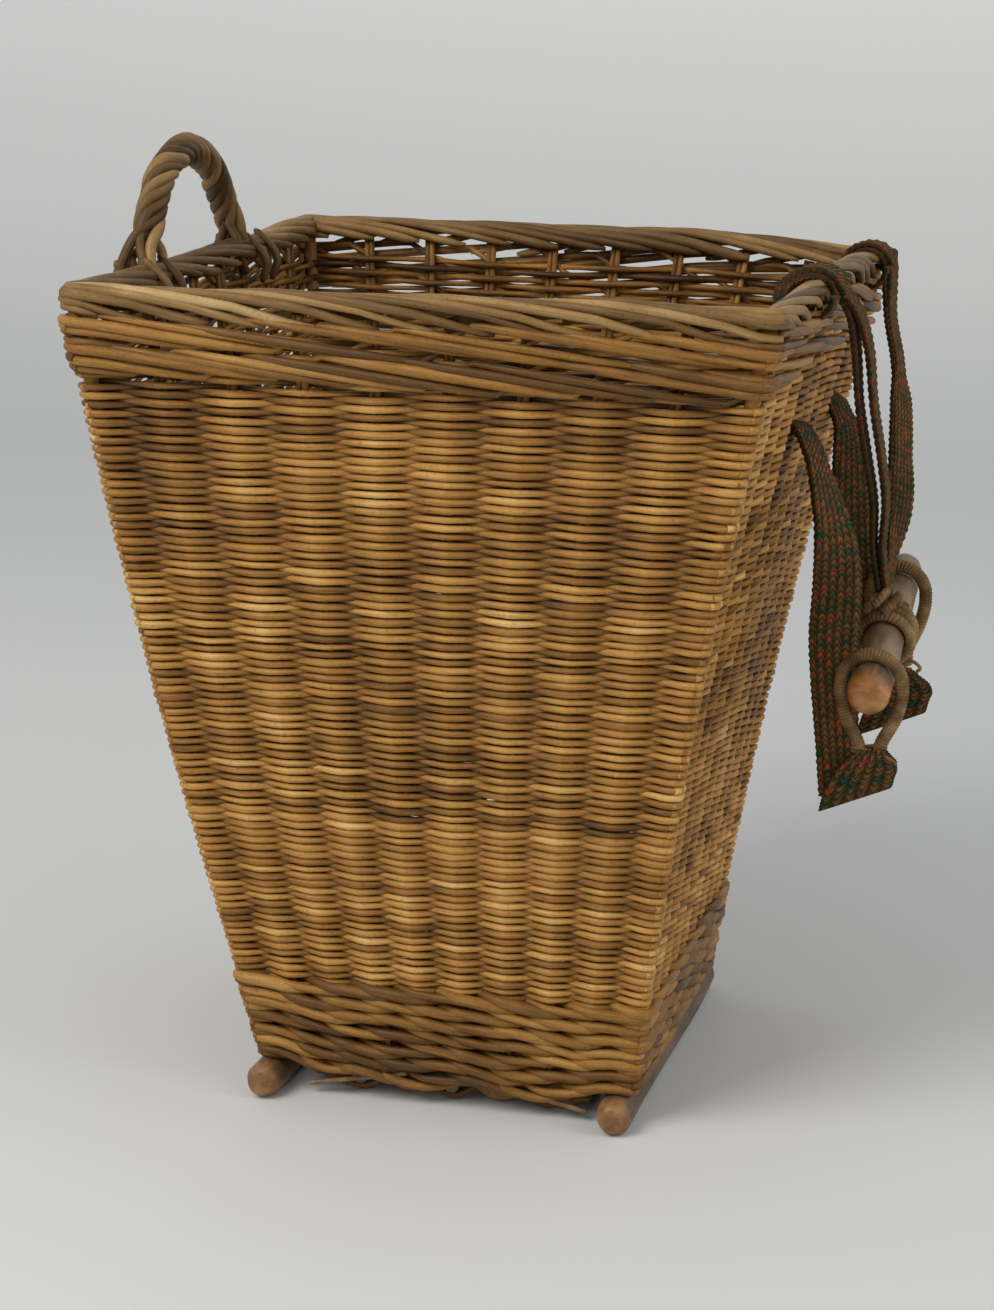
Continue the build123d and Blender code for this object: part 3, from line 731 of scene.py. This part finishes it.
def bandPart(points, wides, widths, thickness, steps, square=True):
    # flat band along points. wides are directions across it, turned square to it unless square is off.
    # Its section is a flattened oval of 16 corners, u across and h through, and its width and thickness waver.
    path = curve(points, steps)
    s = np.linspace(0, 1, steps)
    at = np.linspace(0, 1, len(wides))
    wide = np.stack([np.interp(s, at, np.asarray(wides, float)[:, i]) for i in range(3)], 1)
    d = unit(np.gradient(path, axis=0))
    if square:
        wide -= d * np.sum(wide * d, 1, keepdims=True)
    wide = unit(wide)
    flat = unit(np.cross(d, wide))
    waver = s * steps * 1.7
    width = np.interp(s, np.linspace(0, 1, len(widths)), widths)
    width = width + 1.3 * np.sin(waver) * rng.uniform(0.3, 1, steps)
    thick = thickness * (1 + 0.22 * np.sin(waver + 1))
    u = np.array([-1, -0.97, -0.66, -0.33, 0, 0.33, 0.66, 0.97, 1, 0.97, 0.66, 0.33, 0, -0.33, -0.66, -0.97])
    h = np.array([0, 0.8, 1, 1, 1, 1, 1, 0.8, 0, -0.8, -1, -1, -1, -1, -1, -0.8])
    across = wide[:, None] * (u[:, None] * width[:, None, None] / 2)
    through = flat[:, None] * (h[:, None] * thick[:, None, None] / 2)
    quads, _ = skinQuads(np.arange(steps * len(u)).reshape(steps, len(u)))
    length = np.r_[0, np.cumsum(np.linalg.norm(np.diff(path, axis=0), axis=1))] * mm
    uv = np.stack(np.broadcast_arrays(length[:, None], (u * 0.5 + 0.5)[None, :]), -1)
    return (path[:, None] + across + through).reshape(-1, 3), quads, uv.reshape(-1, 2)


def join(name, parts):
    # one mesh of several parts, each of corners, quads and places on the cloth or thread
    verts, quads, uvs, base = [], [], [], 0
    for v, q, uv in parts:
        verts.append(v)
        quads.append(q + base)
        uvs.append(uv)
        base += len(v)
    return addMesh(name, np.vstack(verts), np.vstack(quads), np.vstack(uvs))


shoulderStraps = [
    dict(name="near_shoulder_webbing", node="near_shoulder_strap", yIn=-118, yOut=-52, drop=0.0, gap=5.0,
         hang=[(256, -42, 571, 0.6), (260.5, -33, 545, 0.9), (263.5, -28, 508, 1.0), (269, -21, 470, 1.0),
               (273, -15, 437, 0.85), (272, -7, 402, 0.6)],
         across=[(0.05, 1, 0)] * 7, end=(276, -2, 368)),
    dict(name="far_shoulder_webbing", node="far_shoulder_strap", yIn=176, yOut=196, drop=9.0, gap=3.0,
         hang=[(252, 176, 545, 0.3), (262, 146, 515, 0.3), (270, 112, 486, 0.3), (275, 78, 456, 0.4),
               (279, 48, 424, 0.6), (276, 22, 392, 0.6)],
         across=[(0.5, 0.85, 0)] * 3 + [(0.7, 0.6, 0.2)] * 2 + [(0.3, 1, 0)] * 2, end=(275, 9, 368))]
strapSizes = dict(thickness=4.3, loopIn=12.6, loopStep=4.8, layerHalf=2.4, borderMiddle=588.5,
                  widths=[15, 16, 17, 18, 18, 17, 17, 17, 18, 18, 17, 16, 14, 11], underWidths=[17, 15, 14, 14, 15])


def ringRound(y, angles, radius, slant, drop):
    # points round the border's middle on the wearer's side; angle 0 points outwards, 90 up
    halfX, _, shift = halfSizes(589.5)
    middle = strapSizes["borderMiddle"] - drop
    points = []
    for a in angles:
        turn = math.radians(a)
        points.append(np.array([shift + halfX + radius * math.cos(turn), y + slant * (90 - a),
                                middle + radius * math.sin(turn)]))
    return points


def shoulderStrap(strap):
    # doubled band: up from inside, over the border, and down in two layers to the tie. Each hang point is x, y,
    # z and the share of the gap that parts the layers there
    slant = (strap["yOut"] - strap["yIn"]) / 180
    middle = (strap["yIn"] + strap["yOut"]) / 2
    wides = [(0.15, 1, 0)] * 4 + [(0.1, 1, 0)] * 3 + strap["across"]
    outer = strapSizes["loopIn"] + strapSizes["loopStep"]
    parts = []
    for layer, radius in ((-1, strapSizes["loopIn"]), (1, outer)):
        line = ringRound(middle, (200, 160, 125, 90, 55, 20, 0), radius, slant, strap["drop"])
        line += [fromRim(x + layer * strap["gap"] * share, y, z) for x, y, z, share in strap["hang"]]
        line.append(fromRim(*strap["end"]) + np.array([layer * strapSizes["layerHalf"], 0, 0]))
        parts.append(bandPart(line, wides, strapSizes["widths"], strapSizes["thickness"], 220))
    # the short turn under the border that closes the loop
    under = ringRound(middle, (0, -40, -80, -120, -160), 15.2, 0, strap["drop"])
    parts.append(bandPart(under, [(0.1, 1, 0)] * 5, strapSizes["underWidths"], strapSizes["thickness"], 40))
    fit(join(strap["name"], parts), bandCloth, strap["node"], "harness")


armBands = [
    dict(name="near_arm_webbing", node="near_arm_band", widths=[26, 28, 30, 34, 36, 33, 31, 32],
         path=[(214, -28, 492), (222, -33, 486), (234, -48, 466), (247, -64, 430), (252, -66, 395), (251, -66, 340),
               (254, -66, 290), (259, -65, 236)],
         across=[(0.1, 1, 0), (0.25, 1, 0), (0.6, 0.7, 0), (1, 0.15, 0)] + [(1, 0, 0)] * 4,
         start=(222, -33, 486), end=(255, -65, 280)),
    dict(name="far_arm_webbing", node="far_arm_band", widths=[26, 28, 29, 30, 30, 30, 30, 30],
         path=[(214, 160, 484), (220, 146, 476), (230, 122, 462), (236, 96, 436), (240, 84, 400), (245, 80, 350),
               (250, 78, 300), (262, 78, 262)],
         across=[(0.1, 1, 0), (0.25, 1, 0), (0.6, 0.7, 0), (0.9, 0.3, 0)] + [(1, 0, 0)] * 4,
         start=(222, 146, 480), end=(255, 78, 290))]


def armBand(band):
    # one plain hang from the wall to the fold
    path = [fromRim(*place) for place in band["path"]]
    obj = join(band["name"], [bandPart(path, band["across"], band["widths"], 5.0, 200)])
    fit(obj, bandCloth, band["node"])
    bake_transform(obj)


foldedEnds = [
    dict(name="near_folded_end", node="near_band_end", rider="near_eye", y=-71.5, top=(281, 273), low=(270, 236.5)),
    dict(name="far_folded_end", node="far_band_end", rider="far_eye", y=70.5, top=(280, 296), low=(276, 254))]


def foldedEnd(fold):
    # the band's end, doubled back up and gathered at the foot of the eye; its wide foot is sheared, not turned
    y, (topX, topZ), (lowX, lowZ) = fold["y"], fold["top"], fold["low"]
    across = [(1, 0, 0.42), (1, 0, 0.36), (1, 0, 0.2), (1, 0, 0)]
    parts = []
    for layer in (-1, 1):
        line = [fromRim(lowX, y + layer * 2.6, lowZ), fromRim(lowX + 2, y + layer * 2.8, lowZ + 9),
                fromRim(lowX + 6, y + layer * 3, lowZ + 22), fromRim(topX, y + layer * 2.2, topZ)]
        parts.append(bandPart(line, across, [55, 54, 42, 18], 4.6, 60, square=False))
    fit(join(fold["name"], parts), bandCloth, fold["node"], fold["rider"])


for strap in shoulderStraps:
    shoulderStrap(strap)
for band in armBands:
    armBand(band)
for fold in foldedEnds:
    foldedEnd(fold)
print("webbing hung")

# chest bar: a whittled stick turned about its axis, with rounded ends

bar = dict(middle=(278, 10, 339.5), tilt=14.8, length=207, nearRadius=15.4, farRadius=13.0, rounding=11.0)
barMiddle = fromRim(*bar["middle"])
tilt = math.radians(bar["tilt"])
barAlong = np.array([0, math.cos(tilt), math.sin(tilt)])
barUp = np.array([0, -math.sin(tilt), math.cos(tilt)])
outwards, upwards = np.array([1.0, 0, 0]), np.array([0, 0, 1.0])


def barRadius(s):
    # the bar thins evenly from its near end to its far end; s is the distance from its middle
    return bar["nearRadius"] + (s / bar["length"] + 0.5) * (bar["farRadius"] - bar["nearRadius"])


def chestBar():
    # radius = the bar's * a quarter circle at each end * shallow facets that wander along the stick
    steps, count, half = 120, 40, bar["length"] / 2
    t = np.linspace(0, 1, steps) - 0.5
    s = (half - 0.3) * np.sign(t) * (1 - np.abs(1 - 2 * np.abs(t)) ** 1.6)
    end = np.clip((half - np.abs(s)) / bar["rounding"], 0, 1)
    r = barRadius(s) * (0.55 + 0.45 * np.sqrt(1 - (1 - end) ** 2))
    S, P = np.meshgrid(s, np.arange(count) * 2 * math.pi / count, indexing="ij")
    R = r[:, None] * (1 + 0.012 * np.cos(7 * P + S / 60) + 0.010 * waves(P * 2 + S / 30, S / 22, 61))
    verts = barMiddle + S[..., None] * barAlong
    verts = verts + (R * np.cos(P))[..., None] * outwards + (R * np.sin(P))[..., None] * barUp
    quads, _ = skinQuads(np.arange(steps * count).reshape(steps, count), turnOut=True)
    fit(addMesh("whittled_bar", verts, quads), barWood, "chest_bar", "bar")


chestBar()

# ropes: eyes wound with thread, and the lashing at the middle of the bar

def threadWound(name, stops):
    # clouds of colour and a fine fuzz, both in object space
    mat, tree, bsdf = nodesOf(name)
    fine = noise(tree, objectPlace(tree), Scale=900.0, Detail=2.0)
    cloud = noise(tree, objectPlace(tree), Scale=60.0, Detail=3.0)
    link(tree, ramp(tree, stops, cloud), bsdf.inputs["Base Color"])
    bumped(tree, bsdf, fine, 0.5, 0.0004)
    surface(bsdf, 0.85, 0.25)
    return mat


cordThread = threadWound(
    "cord_thread", [(0.35, (0.11, 0.060, 0.022)), (0.52, (0.22, 0.132, 0.054)), (0.68, (0.34, 0.22, 0.105))])


def woundRope(line, radius, pitch, depth, count=14, perTurn=8):
    # a rope with a thread wound round it: radius * (1 - depth * (1 - |sin| of half a turn per pitch))
    line = np.asarray(line, float)
    s = np.r_[0, np.cumsum(np.linalg.norm(np.diff(line, axis=0), axis=1))]
    steps = int(s[-1] / pitch * perTurn)
    even = np.linspace(0, s[-1], steps)
    path = np.stack([np.interp(even, s, line[:, i]) for i in range(3)], 1)
    d = unit(np.gradient(path, axis=0))
    across = np.array([0.0, 1.0, 0.0]) if abs(d[:, 1]).max() < 0.9 else np.array([0.03, 0.1, 1.0])
    a = unit(np.cross(d, across))
    b = np.cross(d, a)
    phi = np.arange(count) * 2 * math.pi / count
    bulge = np.abs(np.sin(math.pi * even[:, None] / pitch + phi[None, :] / 2)) ** 0.8
    ends = np.minimum(1, 0.35 + np.minimum(even, s[-1] - even) / radius)
    R = radius * (1 - depth * (1 - bulge)) * ends[:, None]
    ring = np.cos(phi)[None, :, None] * a[:, None] + np.sin(phi)[None, :, None] * b[:, None]
    quads, _ = skinQuads(np.arange(steps * count).reshape(steps, count))
    uv = np.stack(np.broadcast_arrays(even[:, None] * mm, phi[None, :] / (2 * math.pi)), -1)
    return (path[:, None] + R[..., None] * ring).reshape(-1, 3), quads, uv.reshape(-1, 2)


def circleLine(centre, ax, ay, radius, start, stop, steps):
    # part of a circle, from start to stop in degrees
    a = np.radians(np.linspace(start, stop, steps))
    return centre + radius * (np.cos(a)[:, None] * ax + np.sin(a)[:, None] * ay)


eyes = [dict(name="near_wound_eye", node="near_rope_eye", rider="near_eye", station=-80, slip=0),
        dict(name="far_wound_eye", node="far_rope_eye", rider="far_eye", station=60, slip=30)]
eyeRope = dict(radius=4.9, pitch=2.3, depth=0.14, play=1.5)
tyingThread = dict(radius=1.5, looseRadius=1.4, pitch=2.4, depth=0.12, turns=3, turnStep=3.0)


def ropeEye(eye):
    # an arch over the bar and two legs that meet below it. The arch clears the bar where it is thicker, slip mm
    # before the eye's own station
    radius = barRadius(eye["station"] - eye["slip"]) + eyeRope["play"] + eyeRope["radius"]
    centre = barMiddle + barAlong * eye["station"] - upwards
    arch = circleLine(centre, outwards, upwards, radius, 180, 0, 60)
    legs = ((radius * 0.98, 10), (radius * 0.80, 24), (9, 40), (6, 49))
    right = [centre + outwards * out - upwards * down for out, down in legs]
    left = [centre - outwards * out - upwards * down for out, down in legs]
    line = curve(left[::-1] + list(arch[::6]) + [arch[-1]] + right, 200)
    parts = [woundRope(line, eyeRope["radius"], eyeRope["pitch"], eyeRope["depth"])]
    # thread that ties the two legs together, and its loose end
    foot = centre - upwards * 46
    a = np.linspace(0, 2 * math.pi, 50)
    for k in range(tyingThread["turns"]):
        ring = foot - upwards * tyingThread["turnStep"] * k
        oval = ring + np.stack([11.5 * np.cos(a), 6.2 * np.sin(a), 1.2 * np.sin(2 * a)], 1)
        parts.append(woundRope(oval, tyingThread["radius"], tyingThread["pitch"], tyingThread["depth"], 8, 4))
    loose = curve([foot + np.array(step) for step in ((6, -5, -4), (13, -8, -3), (19, -7, -8), (16, -6, -12))], 40)
    parts.append(woundRope(loose, tyingThread["looseRadius"], tyingThread["pitch"], tyingThread["depth"], 8, 4))
    fit(join(eye["name"], parts), cordThread, eye["node"], eye["rider"])


for eye in eyes:
    ropeEye(eye)

lashing = dict(station=-6, turns=(-8.3, 0, 8.3), radius=4.1, bowRadius=3.4, pitch=3.0, depth=0.16, play=0.3,
               knotHigh=23, bows=((-7, 0), (0, 5), (7, 0)))


def tie():
    # rings round the bar side by side, and a knot of three short bows on top, where the straps are sewn in
    pitch, depth = lashing["pitch"], lashing["depth"]
    radius = barRadius(-18) + lashing["play"] + lashing["radius"]
    parts = []
    for i, offset in enumerate(lashing["turns"]):
        centre = barMiddle + barAlong * (lashing["station"] + offset)
        loop = circleLine(centre, outwards, barUp, radius, -90, 270, 90)
        loop[:, 1] += 1.2 * np.sin(np.linspace(0, 4 * math.pi, 90) + i)
        parts.append(woundRope(loop, lashing["radius"], pitch, depth))
    top = barMiddle + barAlong * lashing["station"] + barUp * lashing["knotHigh"]
    for x, z in lashing["bows"]:
        places = ((x - 8, -13, z - 4), (x, -9, z + 5), (x + 2, 2, z + 7), (x + 1, 12, z + 1), (x + 7, 15, z - 6))
        bow = curve([top + np.array(place) for place in places], 60)
        parts.append(woundRope(bow, lashing["bowRadius"], pitch, depth))
    fit(join("middle_lashing", parts), cordThread, "strap_tie", "harness")


tie()
print("ropes wound")

# the CAD's own floor sticks and runner ties stay, and get a wood of their own
for nodeName in ("base_sticks", "runner_ties"):
    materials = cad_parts[nodeName].data.materials
    materials.clear()
    materials.append(stickWood)

# the paper that the basket stands on, lights and camera

# painted light: the paper's colour brightens from the floor up the wall, and it glows a little, more the higher it
# stands
paper = dict(shades=[(0.0, (0.622, 0.640, 0.645)), (0.10, (0.69, 0.705, 0.705)), (0.75, (0.93, 0.93, 0.925))],
             perMetre=0.5, paintedGlow=0.20, paintedGlowColour=(0.98, 1.0, 0.99, 1))


def backdrop():
    # floor that curves up into a wall behind the basket, in metres; painted light: its colour brightens and its glow
    # grows with the height
    s = np.linspace(0, 1, 80)
    bend = np.clip((s - 0.6) / 0.2, 0, 1) * math.pi / 2
    y = np.where(s < 0.6, -4 + 6.5 * s / 0.6, 2.5 + 1.5 * np.sin(bend))
    z = 1.5 * (1 - np.cos(bend)) + 4 * np.clip((s - 0.8) / 0.2, 0, 1)
    X, Y = np.meshgrid(np.linspace(-6, 6, 40), y, indexing="ij")
    index = np.arange(X.size).reshape(X.shape)
    corners = [index[:-1, :-1], index[1:, :-1], index[1:, 1:], index[:-1, 1:]]
    verts = np.stack([X, Y, np.broadcast_to(z, X.shape)], -1) / mm
    obj = addMesh("floor_and_wall", verts, np.stack(corners, -1))
    mat, tree, bsdf = nodesOf("pale_paper")
    high = maths(tree, "MULTIPLY", splitXYZ(tree, objectPlace(tree))["Z"], paper["perMetre"])
    link(tree, ramp(tree, paper["shades"], high), bsdf.inputs["Base Color"])
    # painted light: the paper glows a little, seen by the eye and in reflections only, and lifts the top of the wall
    rays = node(tree, "ShaderNodeLightPath").outputs
    seen = maths(tree, "MAXIMUM", rays["Is Camera Ray"], rays["Is Glossy Ray"])
    seen = maths(tree, "MAXIMUM", seen, rays["Is Transmission Ray"])
    paintedGlow = maths(tree, "MULTIPLY", maths(tree, "MULTIPLY", high, seen), paper["paintedGlow"])
    link(tree, paintedGlow, bsdf.inputs["Emission Strength"])
    bsdf.inputs["Emission Color"].default_value = paper["paintedGlowColour"]
    surface(bsdf, 0.9)
    obj.data.materials.append(mat)


backdrop()

lights = [dict(name="key", place=(-1.3, -2.0, 2.4), target=(0, 0, 0.3), size=(1.8, 1.8), power=62,
               colour=(1.0, 0.96, 0.90)),
          dict(name="window", place=(2.6, -0.4, 1.4), target=(0.1, 0, 0.35), size=(1.6, 2.0), power=22,
               colour=(1.0, 0.99, 0.96))]
room = dict(colour=(0.98, 0.985, 0.98, 1), strength=0.55)


def areaLight(light):
    # a rectangular lamp in metres and watts, turned towards its target
    data = bpy.data.lights.new(light["name"], "AREA")
    data.shape = "RECTANGLE"
    data.size, data.size_y = light["size"]
    data.energy = light["power"]
    data.color = light["colour"]
    obj = bpy.data.objects.new(light["name"], data)
    obj.location = light["place"]
    aim = Vector(light["target"]) - Vector(light["place"])
    obj.rotation_euler = aim.to_track_quat("-Z", "Y").to_euler()
    bpy.context.scene.collection.objects.link(obj)


for light in lights:
    areaLight(light)

world = bpy.data.worlds.new("room")
world.use_nodes = True
sky = world.node_tree.nodes["Background"]
sky.inputs["Color"].default_value = room["colour"]
sky.inputs["Strength"].default_value = room["strength"]
bpy.context.scene.world = world

# the camera, fitted to the photo: turned from the front and raised in degrees, distance in metres
view = dict(turn=15.15, rise=14.02, distance=2.098, target=(-9.2, 0, 304.3), lens=77.6, sensor=36)
turn, rise = math.radians(view["turn"]), math.radians(view["rise"])
back = Vector((math.sin(turn) * math.cos(rise), -math.cos(turn) * math.cos(rise), math.sin(rise)))
camera = bpy.data.objects.new("camera", bpy.data.cameras.new("camera"))
camera.data.lens = view["lens"]
camera.data.sensor_width = view["sensor"]
camera.location = Vector(fromRim(*view["target"]) * mm) + back * view["distance"]
camera.rotation_euler = (-back).to_track_quat("-Z", "Y").to_euler()
bpy.context.scene.collection.objects.link(camera)
bpy.context.scene.camera = camera
bpy.context.scene.view_settings.view_transform = "Standard"

print("scene ready")
